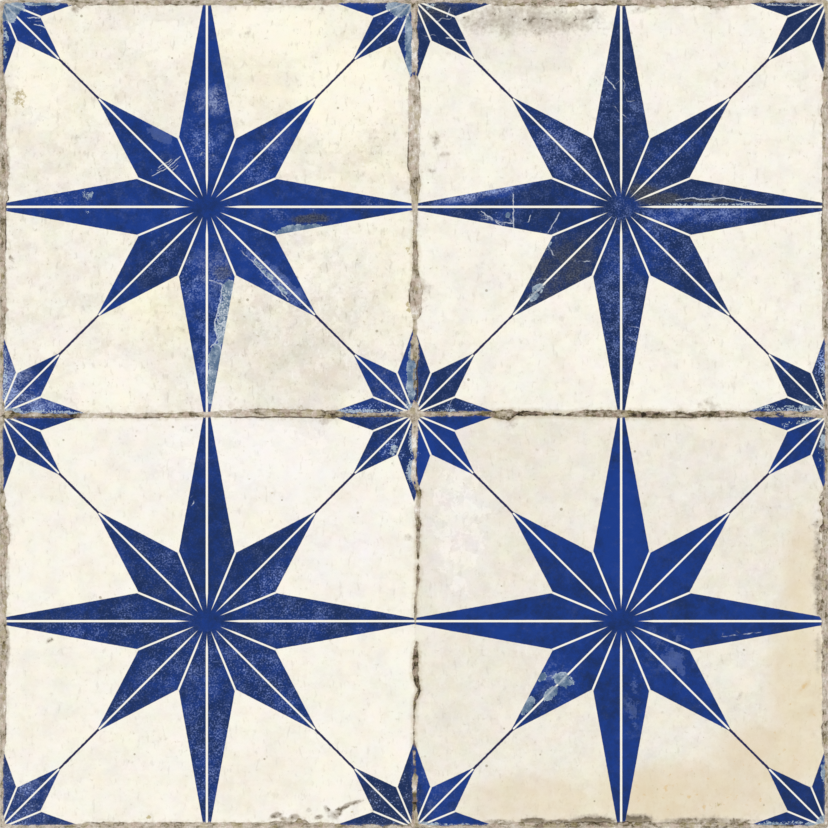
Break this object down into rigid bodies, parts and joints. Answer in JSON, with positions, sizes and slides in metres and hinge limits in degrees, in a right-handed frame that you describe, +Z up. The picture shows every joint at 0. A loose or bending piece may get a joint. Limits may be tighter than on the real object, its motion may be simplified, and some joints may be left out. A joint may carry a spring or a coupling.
{
  "type": "floor tile",
  "caption": "Square glazed floor tile with a worn blue star pattern, raised panels set apart by a false joint, and a keyed back for bedding in adhesive.",
  "frame": {"origin": "middle of the back, in the plane of the ribs that the tile rests on", "axes": "+Z is up through the patterned face, +X runs along one edge towards the right of the picture, +Y along the other towards the top of the picture"},
  "size_m": [0.45, 0.45, 0.01],
  "materials": {
    "fired_tile": "satin"
  },
  "bodies": {
    "root": {"tile": "fired_tile"}
  },
  "joints": []
}
